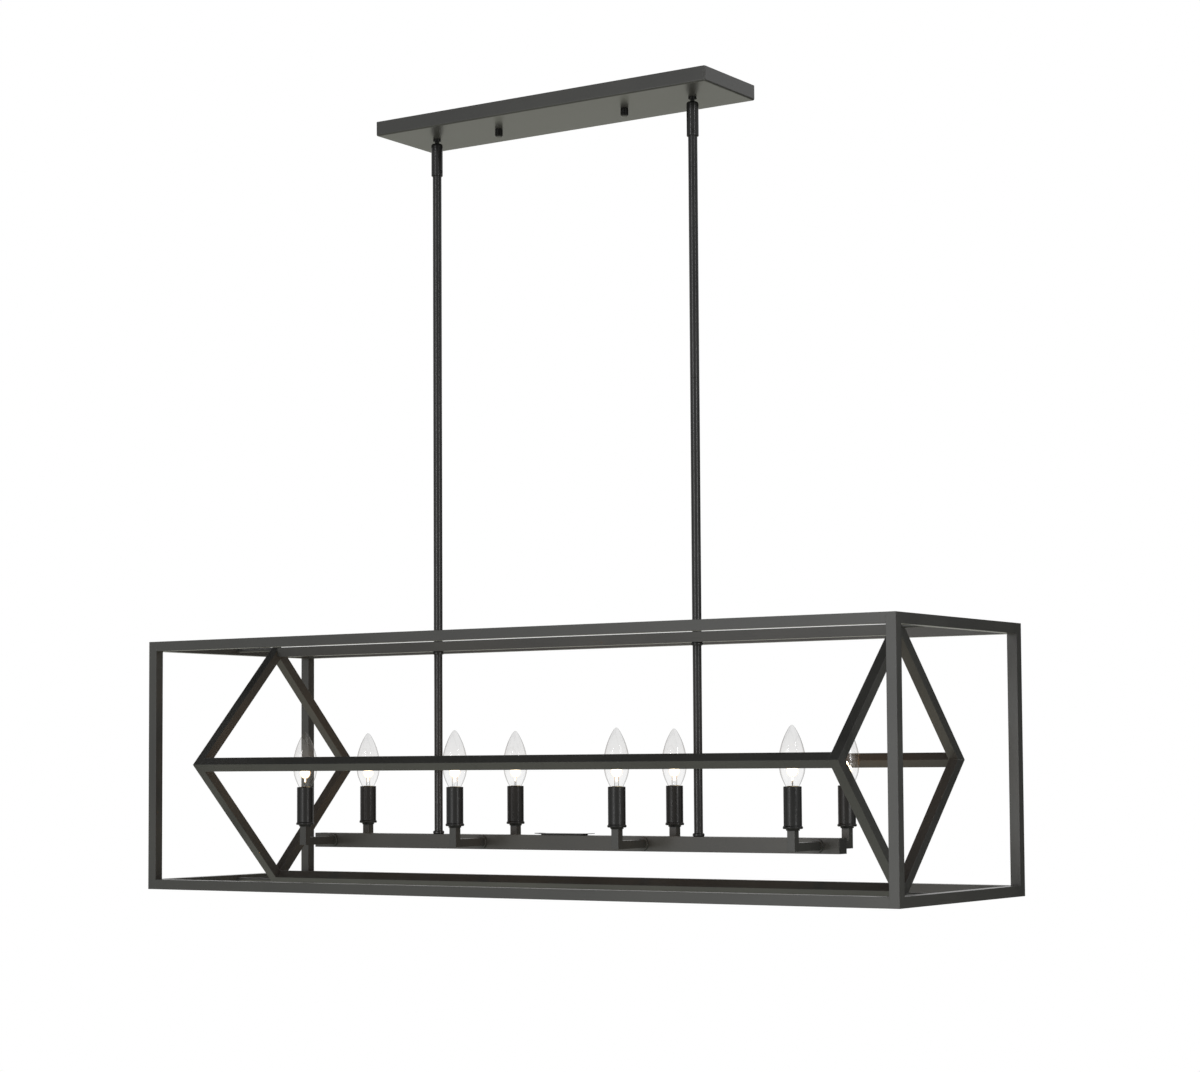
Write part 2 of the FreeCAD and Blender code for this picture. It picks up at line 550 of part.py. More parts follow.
nipple = turned("nipple_form", [("0", "-{nipple_length}/2"), ("{nipple_size}/2-0.5", "-{nipple_length}/2"),
                                ("{nipple_size}/2", "-{nipple_length}/2+0.5"), ("{nipple_size}/2", "{nipple_length}/2-0.5"),
                                ("{nipple_size}/2-0.5", "{nipple_length}/2"), ("0", "{nipple_length}/2")])
nipple_bore = new_sketch(nipple, "nipple_bore", "XY_Plane")
circle(nipple_bore, "0", "0", "{nipple_size}-2.8")
cut_through(nipple, nipple_bore)
copies = []
for k, x in enumerate(("-{stem_spacing}/2", "{stem_spacing}/2")):
    for j, z in enumerate(("-{joint_drop}", "-{center_drop}+{cage_side}/2-{top_rail_inset}",
                           bar_top + "-{bar_wall}-6+{nipple_length}/2")):
        copies.append(placed("nipple_%d_%d" % (k + 1, j + 1), [nipple], x=x, z=z))
node(placed("stem_nipples", copies), "stem_nipples")

ring = turned("ring_form", [("{inner_stem_size}/2+{nipple_fit}", "0"), ("{ring_size}/2-1", "0"),
                            ("{ring_size}/2", "1"), ("{ring_size}/2", "{ring_height}-1"),
                            ("{ring_size}/2-1", "{ring_height}"), ("{inner_stem_size}/2+{nipple_fit}", "{ring_height}")])
copies = []
for k, x in enumerate(("-{stem_spacing}/2", "{stem_spacing}/2")):
    for j, z in enumerate((rail_low + "-{ring_height}", bar_top)):
        copies.append(placed("ring_%d_%d" % (k + 1, j + 1), [ring], x=x, z=z))
node(placed("stem_rings", copies), "stem_rings")

# ---------------------------------------------------------------- ball swivels
# The neck and ball hang from the canopy; the sleeve closes over the ball with a round seat.
def swivel_ball():
    """Thread, bead, neck and ball in one turned piece, measured from the ball centre."""
    radius = size("ball_size") / 2
    neck = size("neck_size") / 2
    under = size("pivot_drop") - size("canopy_height")
    top = size("pivot_drop") - size("strap_sheet") - size("slip") - 1.5
    lift = math.sqrt(radius ** 2 - neck ** 2)
    bead = size("bead_size") / 2
    low = under - size("bead_height")
    spots = [(neck, lift), (neck, low), (bead - 0.9, low), (bead, low + 1.0), (bead, under - 0.6),
             (bead - 0.4, under), (size("thread_size") / 2, under), (size("thread_size") / 2, top), (0, top)]
    points = [FreeCAD.Vector(r, 0, z) for r, z in spots]
    arc = Part.Arc(FreeCAD.Vector(0, 0, -radius), FreeCAD.Vector(radius, 0, 0), points[0]).toShape()
    edges = [arc] + [Part.makeLine(a, b) for a, b in zip(points, points[1:])]
    edges.append(Part.makeLine(points[-1], FreeCAD.Vector(0, 0, -radius)))
    return Part.Face(Part.Wire(edges)).revolve(FreeCAD.Vector(), FreeCAD.Vector(0, 0, 1), 360)


def swivel_sleeve():
    """Sleeve with a rounded shoulder, a mouth for the neck and a ball seat over the stem bore."""
    outer_r = size("swivel_size") / 2
    seat_r = size("ball_size") / 2 + size("running")
    mouth = size("swivel_mouth") / 2
    top = size("swivel_rise")
    low = top - size("swivel_length")
    ledge = math.sqrt(seat_r ** 2 - mouth ** 2)
    stem_r = size("stem_size") / 2 + size("nipple_fit") / 2
    step = -size("ball_size") / 2 - 1.5
    half = math.sqrt(0.5) * 3.0
    corner_arc = Part.Arc(FreeCAD.Vector(outer_r, 0, top - 3.0), FreeCAD.Vector(outer_r - 3.0 + half, 0, top - 3.0 + half),
                          FreeCAD.Vector(outer_r - 3.0, 0, top)).toShape()
    mid = math.atan2(ledge, mouth) / 2
    seat = Part.Arc(FreeCAD.Vector(mouth, 0, ledge), FreeCAD.Vector(seat_r * math.cos(mid), 0, seat_r * math.sin(mid)),
                    FreeCAD.Vector(seat_r, 0, 0)).toShape()
    edges = [corner_arc, Part.makeLine(FreeCAD.Vector(outer_r - 3.0, 0, top), FreeCAD.Vector(mouth, 0, top)),
             Part.makeLine(FreeCAD.Vector(mouth, 0, top), FreeCAD.Vector(mouth, 0, ledge)), seat]
    spots = [(seat_r, 0), (seat_r, step), (stem_r, step), (stem_r, low), (outer_r - 0.5, low),
             (outer_r, low + 0.5), (outer_r, top - 3.0)]
    points = [FreeCAD.Vector(r, 0, z) for r, z in spots]
    edges += [Part.makeLine(a, b) for a, b in zip(points, points[1:])]
    return Part.Face(Part.Wire(Part.__sortEdges__(edges))).revolve(FreeCAD.Vector(), FreeCAD.Vector(0, 0, 1), 360)


ball = doc.addObject("Part::Feature", "swivel_ball_form")
ball.Shape = swivel_ball()
copies = [placed("swivel_ball_%d" % (k + 1), [ball], x=x, z="-{pivot_drop}")
          for k, x in enumerate(("-{stem_spacing}/2", "{stem_spacing}/2"))]
node(placed("swivel_balls", copies), "swivel_balls")

shell = doc.addObject("Part::Feature", "swivel_sleeve_form")
shell.Shape = swivel_sleeve()
screw_bore = doc.addObject("Part::Cylinder", "set_screw_bore")
screw_bore.setExpression("Radius", bound("{set_screw_size}/2"))
screw_bore.setExpression("Height", bound("{swivel_size}"))
place(screw_bore, z="-{set_screw_drop}", axis=(0, 1, 0), angle=90)
drilled = doc.addObject("Part::Cut", "swivel_sleeve_drilled")
drilled.Base = shell
drilled.Tool = screw_bore
SCREW_TURN = {"left": -8.0, "right": -58.0}
for side, x in (("left", "-{stem_spacing}/2"), ("right", "{stem_spacing}/2")):
    name = "swivel_sleeve_" + side
    node(placed(name, [drilled], x=x, z="-{pivot_drop}", angle=SCREW_TURN[side]), name)

set_screw = doc.addObject("Part::Cylinder", "set_screw_form")
set_screw.setExpression("Radius", bound("{set_screw_size}/2-{running}"))
set_screw.setExpression("Height", bound("({swivel_size}-{stem_size})/2+0.6"))
place(set_screw, x="{stem_size}/2+0.02", z="-{set_screw_drop}", axis=(0, 1, 0), angle=90)
copies = [placed("set_screw_" + side, [set_screw], x=x, z="-{pivot_drop}", angle=SCREW_TURN[side])
          for side, x in (("left", "-{stem_spacing}/2"), ("right", "{stem_spacing}/2"))]
node(placed("swivel_set_screws", copies), "swivel_set_screws")

lock_nut = new_body("lock_nut_form")
hexagon = new_sketch(lock_nut, "lock_nut_hexagon", "XY_Plane")
corner_r = "{nut_flats}/sqrt(3)"
polygon(hexagon, [("%s*%.6f" % (corner_r, math.cos(math.radians(60 * k + 30))) if k not in (1, 4) else "0",
                   "%s*%.6f" % (corner_r, math.sin(math.radians(60 * k + 30)))) for k in range(6)])
circle(hexagon, "0", "0", "{thread_size}+2*{running}")
pad(lock_nut, hexagon, "{nut_height}")
copies = [placed("lock_nut_%d" % (k + 1), [lock_nut], x=x, z="-{canopy_height}+{canopy_sheet}+{nut_height}/2")
          for k, x in enumerate(("-{stem_spacing}/2", "{stem_spacing}/2"))]
node(placed("swivel_lock_nuts", copies), "swivel_lock_nuts")

bar_nut = new_body("bar_nut_form")
bar_hexagon = new_sketch(bar_nut, "bar_nut_hexagon", "XY_Plane")
polygon(bar_hexagon, [("%s*%.6f" % (corner_r, math.cos(math.radians(60 * k + 30))) if k not in (1, 4) else "0",
                       "%s*%.6f" % (corner_r, math.sin(math.radians(60 * k + 30)))) for k in range(6)])
circle(bar_hexagon, "0", "0", "{nipple_size}+2*{running}")
pad(bar_nut, bar_hexagon, "{bar_nut_height}")
copies = [placed("bar_nut_%d" % (k + 1), [bar_nut], x=x, z=bar_top + "-{bar_wall}-{bar_nut_height}/2")
          for k, x in enumerate(("-{stem_spacing}/2", "{stem_spacing}/2"))]
node(placed("bar_lock_nuts", copies), "bar_lock_nuts")

# ---------------------------------------------------------------- canopy, strap, studs and cap nuts
canopy = new_body("canopy")
canopy_plan = new_sketch(canopy, "canopy_plan", "XY_Plane")


def rectangle(sketch, length, width):
    half_l, half_w = "(%s)/2" % length, "(%s)/2" % width
    polygon(sketch, [("-(%s)" % half_l, "-(%s)" % half_w), (half_l, "-(%s)" % half_w), (half_l, half_w),
                     ("-(%s)" % half_l, half_w)])


rectangle(canopy_plan, "{canopy_length}", "{canopy_width}")
tray = canopy.newObject("PartDesign::Pad", "canopy_block")
tray.Profile = canopy_plan
tray.Reversed = True
tray.setExpression("Length", bound("{canopy_height}"))
canopy_plan.Visibility = False
doc.recompute()
rounded = canopy.newObject("PartDesign::Fillet", "canopy_edges")
low_edges = []
for number, edge in enumerate(tray.Shape.Edges, start=1):
    heights = [v.Z for v in edge.Vertexes]
    if min(heights) < -size("canopy_height") / 2:
        low_edges.append("Edge%d" % number)
rounded.Base = (tray, low_edges)
rounded.setExpression("Radius", bound("{canopy_round}"))
canopy_inside = new_sketch(canopy, "canopy_inside", "XY_Plane")
rectangle(canopy_inside, "{canopy_length}-2*{canopy_sheet}", "{canopy_width}-2*{canopy_sheet}")
hollow = canopy.newObject("PartDesign::Pocket", "canopy_hollow")
hollow.Profile = canopy_inside
hollow.setExpression("Length", bound("{canopy_height}-{canopy_sheet}"))
canopy_inside.Visibility = False
canopy_holes = new_sketch(canopy, "canopy_holes", "XY_Plane")
for side in ("-", ""):
    circle(canopy_holes, side + "{stem_spacing}/2", "0", "{thread_size}+2*{nipple_fit}")
    circle(canopy_holes, side + "{stud_spacing}/2", "0", "{stud_size}+2*{slip}")
cut_through(canopy, canopy_holes)
node(canopy, "canopy")

strap = new_body("mounting_strap")
strap_plan = new_sketch(strap, "strap_plan", "XY_Plane")
rectangle(strap_plan, "{strap_length}", "{strap_width}")
for side in ("-", ""):
    circle(strap_plan, side + "{stud_spacing}/2", "0", "{stud_size}+2*{running}")
circle(strap_plan, "0", "0", "12")
circle(strap_plan, "24", "0", "{stud_size}")
strap_sheet = strap.newObject("PartDesign::Pad", "strap_plate")
strap_sheet.Profile = strap_plan
strap_sheet.Reversed = True
strap_sheet.setExpression("Length", bound("{strap_sheet}"))
strap_plan.Visibility = False
slots = new_sketch(strap, "strap_slots", "XY_Plane")


def slot_outline(sketch, center, length, width):
    """Straight slot with round ends, along X."""
    middle, run = value_of(center), value_of("(%s-%s)/2" % (length, width))
    radius = value_of(width) / 2
    first = sketch.GeometryCount
    up, down = FreeCAD.Vector(0, 0, 1), -radius
    left, right = middle - run, middle + run
    quarter = math.pi / 2
    sketch.addGeometry(Part.ArcOfCircle(Part.Circle(FreeCAD.Vector(left, 0, 0), up, radius), quarter, 3 * quarter), False)
    sketch.addGeometry(Part.LineSegment(FreeCAD.Vector(left, down, 0), FreeCAD.Vector(right, down, 0)), False)
    sketch.addGeometry(Part.ArcOfCircle(Part.Circle(FreeCAD.Vector(right, 0, 0), up, radius), -quarter, quarter), False)
    sketch.addGeometry(Part.LineSegment(FreeCAD.Vector(right, radius, 0), FreeCAD.Vector(left, radius, 0)), False)
    for a, b in ((first, first + 1), (first + 2, first + 3)):
        sketch.addConstraint(Sketcher.Constraint("Tangent", a, 2, b, 1))
    for a, b in ((first + 1, first + 2), (first + 3, first)):
        sketch.addConstraint(Sketcher.Constraint("Tangent", a, 2, b, 1))
    for index, spot, text in ((first, left, "%s-(%s-%s)/2" % (center, length, width)),
                              (first + 2, right, "%s+(%s-%s)/2" % (center, length, width))):
        sketch.addConstraint(Sketcher.Constraint("PointOnObject", index, 3, -1))
        number = sketch.addConstraint(Sketcher.Constraint("DistanceX", -1, 1, index, 3, spot))
        sketch.setExpression("Constraints[%d]" % number, bound(text))
    number = sketch.addConstraint(Sketcher.Constraint("Radius", first, radius))
    sketch.setExpression("Constraints[%d]" % number, bound("%s/2" % width))


for side in ("-", ""):
    slot_outline(slots, side + "{box_spacing}/2", "{box_slot}", "{box_slot_width}")
cut_through(strap, slots)
node(strap, "mounting_strap")

stud = turned("stud_form", [("0", "-{stud_reach}"), ("{stud_size}/2-0.6", "-{stud_reach}"),
                            ("{stud_size}/2", "-{stud_reach}+0.6"), ("{stud_size}/2", "-{strap_sheet}-3"),
                            ("{stud_size}/2+2", "-{strap_sheet}-3"), ("{stud_size}/2+2", "-{strap_sheet}"),
                            ("{stud_size}/2", "-{strap_sheet}"), ("{stud_size}/2", "-0.1"), ("0", "-0.1")])
copies = [placed("stud_%d" % (k + 1), [stud], x=x)
          for k, x in enumerate(("-{stud_spacing}/2", "{stud_spacing}/2"))]
node(placed("strap_studs", copies), "strap_studs")

ground = turned("ground_screw", [("0", "-{strap_sheet}-5.5"), ("3.2", "-{strap_sheet}-5.5"),
                                 ("3.9", "-{strap_sheet}-4.8"), ("3.9", "-{strap_sheet}-3"),
                                 ("{stud_size}/2-{running}", "-{strap_sheet}-3"), ("{stud_size}/2-{running}", "-0.1"),
                                 ("0", "-0.1")])
washer = turned("ground_washer_form", [("{stud_size}/2+{running}", "-{strap_sheet}-3"), ("5", "-{strap_sheet}-3"),
                                       ("5", "-{strap_sheet}"), ("{stud_size}/2+{running}", "-{strap_sheet}")])
node(placed("ground_terminal", [ground, washer], x="24"), "ground_terminal")

nut = turned("cap_nut_form", [("{stud_size}/2+{running}", "0"), ("{cap_nut_size}/2-0.6", "0"),
                              ("{cap_nut_size}/2", "-0.6"), ("{cap_nut_size}/2", "-{cap_nut_height}+1.4"),
                              ("{cap_nut_size}/2-1.4", "-{cap_nut_height}"), ("0", "-{cap_nut_height}"),
                              ("0", "-{cap_nut_height}+1.6"), ("{stud_size}/2+{running}", "-{cap_nut_height}+1.6")])
groove = new_sketch(nut, "cap_nut_groove", "XY_Plane")
deep = "{cap_nut_size}/2-{knurl_depth}"
polygon(groove, [(deep, "0"), ("{cap_nut_size}/2+0.4", "-0.75"), ("{cap_nut_size}/2+0.4", "0.75")])
groove_cut = nut.newObject("PartDesign::Pocket", "cap_nut_groove_cut")
groove_cut.Profile = groove
groove_cut.setExpression("Length", bound("{cap_nut_height}-2"))
groove.Visibility = False
knurl = nut.newObject("PartDesign::PolarPattern", "cap_nut_knurl")
knurl.Originals = [groove_cut]
knurl.Axis = (groove, ["N_Axis"])
knurl.Angle = 360
knurl.Occurrences = 22
nut.Tip = knurl
for side, x in (("left", "-{stud_spacing}/2"), ("right", "{stud_spacing}/2")):
    name = "cap_nut_" + side
    node(placed(name, [nut], x=x, z="-{canopy_height}-{rest_gap}"), name)

# ---------------------------------------------------------------- checks and export
doc.recompute()
for obj in doc.Objects:
    if any(word in ("Invalid", "Error") for word in obj.State):
        raise RuntimeError("%s: %s" % (obj.Name, obj.State))
    if hasattr(obj, "Shape") and obj.isDerivedFrom("Part::Feature") and not obj.isDerivedFrom("Sketcher::SketchObject"):
        if obj.Shape.isNull() or not obj.Shape.isValid():
            raise RuntimeError("%s has no valid shape" % obj.Name)
for obj in EXPORTED:
    obj.Shape.exportStep("parts/%s.step" % obj.Label)
print("exported", len(EXPORTED), "nodes")
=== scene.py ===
import math
import bpy
from mathutils import Matrix, Vector


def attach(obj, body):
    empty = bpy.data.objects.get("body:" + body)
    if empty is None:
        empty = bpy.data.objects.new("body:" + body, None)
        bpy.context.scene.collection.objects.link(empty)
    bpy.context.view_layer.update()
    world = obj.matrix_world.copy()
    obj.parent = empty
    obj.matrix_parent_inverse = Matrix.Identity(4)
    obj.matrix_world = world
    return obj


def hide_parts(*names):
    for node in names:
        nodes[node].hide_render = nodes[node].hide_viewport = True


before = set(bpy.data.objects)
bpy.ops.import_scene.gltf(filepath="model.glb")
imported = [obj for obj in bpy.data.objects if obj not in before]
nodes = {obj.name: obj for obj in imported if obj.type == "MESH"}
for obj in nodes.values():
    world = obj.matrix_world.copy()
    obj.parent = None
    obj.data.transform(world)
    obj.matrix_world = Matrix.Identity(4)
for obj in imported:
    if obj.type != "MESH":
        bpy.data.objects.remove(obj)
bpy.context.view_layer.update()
scene = bpy.context.scene
scene.view_settings.view_transform = "Standard"

MM = 0.001

# Sizes of the object in metres, taken over from the CAD frame.
CAGE_MIDDLE = -0.925
LAMP_X = (-0.4035, -0.1345, 0.1345, 0.4035)
ARM_REACH = 0.073
ARM_TOP = CAGE_MIDDLE - 0.0896
CUP_FLOOR = 0.0036
SLEEVE_LENGTH = 0.053
NECK_GAP = 0.0006
NECK_Z = ARM_TOP + CUP_FLOOR + SLEEVE_LENGTH + NECK_GAP
STEM_X = 0.2175
SWIVEL_SLEEVE_RADIUS = 0.00825
SET_SCREW_Z = -0.069


# ------------------------------------------------------------------ node trees
class Tree:
    """The node tree of a material or world, with short ways to add and link nodes."""

    def __init__(self, owner):
        self.owner = owner
        owner.use_nodes = True
        self.nodes = owner.node_tree.nodes
        self.shader = self.nodes.get("Principled BSDF")
        self.output = self.nodes.get("Material Output") or self.nodes["World Output"]

    def add(self, kind, inputs=None, **settings):
        node = self.nodes.new("ShaderNode" + kind)
        for key, value in settings.items():
            setattr(node, key, value)
        for key, value in (inputs or {}).items():
            if isinstance(value, bpy.types.NodeSocket):
                self.link(value, node.inputs[key])
            else:
                node.inputs[key].default_value = value
        return node

    def link(self, source, target):
        self.owner.node_tree.links.new(source, target)

    def show(self, surface):
        """Makes this shader the surface."""
        self.link(surface, self.output.inputs["Surface"])

    def set(self, **sockets):
        """Sets or links sockets of the main shader, with _ for each space in their names."""
        for key, value in sockets.items():
            socket = self.shader.inputs[key.replace("_", " ")]
            if isinstance(value, bpy.types.NodeSocket):
                self.link(value, socket)
            else:
                socket.default_value = value

    def math(self, operation, first, second):
        return self.add("Math", {0: first, 1: second}, operation=operation).outputs[0]

    def place(self):
        """Place on the object."""
        return self.add("TexCoord").outputs["Object"]

    def noise(self, where, scale, detail):
        return self.add("TexNoise", {"Vector": where, "Scale": scale, "Detail": detail}).outputs["Fac"]

    def facing(self):
        """0 where the surface faces the eye, 1 where it is seen edge on."""
        return self.add("LayerWeight", {"Blend": 0.5}).outputs["Facing"]

    def ramp(self, factor, low, high, start=0.35, end=0.65):
        """Colour that runs from low to high as the factor passes from start to end."""
        node = self.add("ValToRGB", {"Fac": factor})
        node.color_ramp.elements[0].position = start
        node.color_ramp.elements[1].position = end
        node.color_ramp.elements[0].color = (*low, 1)
        node.color_ramp.elements[1].color = (*high, 1)
        return node.outputs["Color"]

    def span(self, factor, low, high, start=0.0, end=1.0):
        """Number that runs from low to high as the factor passes from start to end."""
        node = self.add("MapRange", {"Value": factor, "From Min": start, "From Max": end,
                                     "To Min": low, "To Max": high})
        return node.outputs["Result"]


def material(name):
    return Tree(bpy.data.materials.new(name))


# ------------------------------------------------------------------ materials
GRAIN = 0.0005         # size of the coat's grain
GRAIN_RELIEF = 6e-6    # its height
CLOUD_RELIEF = 1e-5    # height of the slow waves on round pieces
EDGE_RADIUS = 0.0008   # edges rounded by the coat
CLOUD_SCALE = 9.0
ROUGH_SPREAD = 0.03


def coat(name, dark, light, rough, specular, round_piece=False):
    """Black coat with faint clouds: fine grain and rounded edges, or smooth on a round piece."""
    t = material(name)
    where = t.place()
    clouds = t.noise(where, CLOUD_SCALE, 3.0)
    t.set(Base_Color=t.ramp(clouds, dark, light),
          Roughness=t.span(clouds, rough - ROUGH_SPREAD, rough + ROUGH_SPREAD),
          Specular_IOR_Level=specular)
    if round_piece:
        t.set(Specular_IOR_Level=t.span(t.facing(), specular, 0.0))
        relief = t.add("Bump", {"Height": clouds, "Distance": CLOUD_RELIEF, "Strength": 0.2})
    else:
        edge = t.add("Bevel", {"Radius": EDGE_RADIUS}, samples=4)
        relief = t.add("Bump", {"Height": t.noise(where, 1 / GRAIN, 2.0), "Distance": GRAIN_RELIEF,
                                "Strength": 0.6, "Normal": edge.outputs["Normal"]})
    t.set(Normal=relief.outputs["Normal"])
    return t.owner


def metal(name, color, rough, wear=0.05):
    """Bare or plated metal with faint brushed streaks."""
    t = material(name)
    stretch = t.add("Mapping", {"Vector": t.place(), "Scale": (900.0, 900.0, 60.0)}).outputs["Vector"]
    streak = t.noise(stretch, 1.0, 2.0)
    low = tuple(c * 0.82 for c in color)
    t.set(Base_Color=t.ramp(streak, low, color), Roughness=t.span(streak, rough - wear, rough + wear),
          Metallic=1.0)
    return t.owner


def clear_glass(name):
    """Thin clear lamp glass: nearly invisible face on, darker edge on, with a painted reflection that
    makes it darker towards the tip.
    """
    t = material(name)
    where = t.place()
    height = t.add("SeparateXYZ", {"Vector": where}).outputs["Z"]
    # Faint grey tint with random clouds, plus a painted reflection: the glass grows darker and less clear
    # towards the tip, in place of reflected dark things above.
    tint_and_painted_reflection = t.math("MULTIPLY", t.span(height, 0.03, 0.11, 0.018, 0.05),
                  t.span(t.noise(where, 35.0, 1.0), 0.5, 1.5))
    facing = t.facing()
    t.set(Alpha=t.math("ADD", tint_and_painted_reflection, t.span(facing, 0.0, 0.5, 0.50, 0.92)),
          Base_Color=(0.012, 0.012, 0.012, 1), Roughness=0.03,
          Specular_IOR_Level=t.span(facing, 0.5, 0.0))
    shine = t.add("BsdfGlossy", {"Roughness": 0.04}).outputs[0]
    t.show(t.add("MixShader", {0: 0.05, 1: t.shader.outputs[0], 2: shine}).outputs[0])
    return t.owner


def glowing(name, color, strength):
    """Hot filament, a little uneven along its length."""
    t = material(name)
    uneven = t.noise(t.place(), 700.0, 1.0)
    t.set(Base_Color=(0.8, 0.5, 0.2, 1), Emission_Color=(*color, 1),
          Emission_Strength=t.span(uneven, strength * 0.8, strength * 1.2))
    return t.owner


def painted_glow(name):
    """Painted glow round a hot filament: an emitting shell, not a lamp, bright in the middle and gone at
    its edge.
    """
    t = material(name)
    t.nodes.remove(t.shader)
    near = t.math("SUBTRACT", 1.0, t.facing())
    uneven = t.noise(t.place(), 320.0, 1.0)
    power = t.math("MULTIPLY", t.span(near, 0.9, 4.0), t.span(uneven, 0.5, 1.7))
    color = t.ramp(near, (1.0, 0.42, 0.08), (1.0, 0.84, 0.60), 0.1, 0.6)
    glow = t.add("Emission", {"Color": color, "Strength": power}).outputs[0]
    clear = t.add("BsdfTransparent").outputs[0]
    t.show(t.add("MixShader", {0: t.math("POWER", near, 1.4), 1: clear, 2: glow}).outputs[0])
    return t.owner


BLACK = coat("black_powder_coat", (0.024, 0.024, 0.023), (0.030, 0.030, 0.028), 0.33, 0.42)
GLOSS = coat("black_satin_tube", (0.006, 0.006, 0.006), (0.010, 0.010, 0.010), 0.15, 0.30,
             round_piece=True)
SLEEVE = coat("black_candle_sleeve", (0.007, 0.007, 0.007), (0.010, 0.010, 0.010), 0.28, 0.24,
              round_piece=True)
SOCKET = coat("lamp_socket_plastic", (0.05, 0.04, 0.03), (0.07, 0.06, 0.05), 0.55, 0.4)
ZINC = metal("zinc_plated_steel", (0.62, 0.64, 0.66), 0.32)
BRASS = metal("lamp_base_metal", (0.75, 0.62, 0.36), 0.25)
LEADS = metal("lead_wire", (0.55, 0.33, 0.12), 0.25)
GREEN = coat("green_ground_screw", (0.02, 0.16, 0.05), (0.03, 0.20, 0.07), 0.35, 0.5)
# Painted glow: emitting shells round the filaments, not lamps.
PAINTED_GLOW = painted_glow("filament_painted_glow")
GLASS = clear_glass("lamp_glass")
HOT = glowing("filament_core", (1.0, 0.80, 0.48), 22.0)

# The first entry that a CAD node's name starts with gives its material.
MATERIAL_OF = (
    (("stem_nipples", "swivel_lock_nuts", "bar_lock_nuts", "mounting_strap", "strap_studs"), ZINC),
    (("stem_", "swivel_sleeve", "swivel_balls", "swivel_set", "cap_nut"), GLOSS),
    (("candle_sleeves", "splice_cover"), SLEEVE),
    (("lamp_sockets",), SOCKET),
    (("bulb_glass",), GLASS),
    (("bulb_base",), BRASS),
    (("ground",), GREEN),
    (("",), BLACK),
)

for name, obj in nodes.items():
    obj.data.materials.clear()
    obj.data.materials.append(next(mat for starts, mat in MATERIAL_OF if name.startswith(starts)))


# ------------------------------------------------------------------ mesh helpers
def new_object(name, verts, faces, mats, indices=None, smooth=True):
    mesh = bpy.data.meshes.new(name)
    mesh.from_pydata(verts, [], faces)
    for mat in mats:
        mesh.materials.append(mat)
    for k, poly in enumerate(mesh.polygons):
        poly.use_smooth = smooth
        if indices:
            poly.material_index = indices[k]
    mesh.update()
    return link_object(name, mesh)


def link_object(name, data):
    obj = bpy.data.objects.new(name, data)
    scene.collection.objects.link(obj)
    return obj


class Shape:
    """Gathers turned and swept pieces into one mesh. Sizes come in millimetres, each piece with
    the index of its material."""

    def __init__(self):
        self.verts = []
        self.faces = []
        self.marks = []

    def skin(self, first, rings, around, mark):
        """Faces between neighbouring rings of points."""
        for i in range(rings - 1):
            for k in range(around):
                n = (k + 1) % around
                low, high = first + i * around, first + (i + 1) * around
                self.faces.append((low + k, low + n, high + n, high + k))
                self.marks.append(mark)

    def turn(self, profile, mark, center=(0, 0, 0), around=32):
        """Profile of (radius, height) turned about the vertical. The centre is in metres."""
        first = len(self.verts)
        for radius, height in profile:
            for k in range(around):
                a = 2 * math.pi * k / around
                spot = (radius * MM * math.cos(a), radius * MM * math.sin(a), height * MM)
                self.verts.append(tuple(c + s for c, s in zip(center, spot)))
        self.skin(first, len(profile), around, mark)

    def sweep(self, path, radius, mark, around=8):
        """Round wire along a path of points."""
        first = len(self.verts)
        points = [Vector(p) * MM for p in path]
        side = None
        for i, point in enumerate(points):
            ahead = points[min(i + 1, len(points) - 1)] - points[max(i - 1, 0)]
            ahead.normalize()
            if side is None:
                side = ahead.orthogonal().normalized()
            side = (side - ahead * side.dot(ahead)).normalized()
            other = ahead.cross(side)
            for k in range(around):
                a = 2 * math.pi * k / around
                self.verts.append(tuple(point + radius * MM * (math.cos(a) * side + math.sin(a) * other)))
        self.skin(first, len(points), around, mark)
        for ring, order in ((first, -1), (first + (len(points) - 1) * around, 1)):
            self.faces.append(tuple(ring + k for k in range(around))[::order])
            self.marks.append(mark)

    def finish(self, name, mats):
        return new_object(name, self.verts, self.faces, mats, self.marks)


# ------------------------------------------------------------------ lamps, sizes in millimetres
LAMP_MATERIALS = [BRASS, GLASS, LEADS, HOT, PAINTED_GLOW]
IN_BRASS, IN_GLASS, IN_LEADS, IN_HOT, IN_PAINTED_GLOW = range(5)

BASE_TIP = [(0.0, -19.6), (2.2, -19.6), (2.8, -18.6), (4.4, -17.8), (5.95, -16.4)]
BASE_COLLAR = [(5.95, -3.9), (7.1, -3.3), (7.1, 0.0), (0.0, 0.0)]
THREADS = 6
THREAD_START = -15.6
THREAD_PITCH = 1.9
MOUNT = [(0.0, 0.1), (2.4, 0.1), (1.9, 2.5), (1.3, 6.0), (1.2, 14.6), (2.0, 15.6), (2.0, 16.5),
         (1.2, 17.2), (0.0, 17.2)]
LEAD = [(3.5, 0.2), (3.5, 8), (3.3, 15), (3.2, 20), (3.3, 22.5)]
LEAD_RADIUS = 0.35
SUPPORTS = ((1.6, 27.0), (2.6, 23.5))
SUPPORT_RADIUS = 0.24
COIL_TURNS = 26
COIL_STEPS = COIL_TURNS * 8
COIL_RADIUS = 0.55
COIL_WIRE_RADIUS = 0.24
ARCH_HALF_WIDTH = 3.2
ARCH_FOOT = 22.5
ARCH_HEIGHT = 7.5
# Painted glow: emitting shells round the filament in place of the bloom of its light.
PAINTED_GLOWS = ((7.8, 8.5, 19.5), (1.6, 3.0, 9.0))  # radius, half height and level


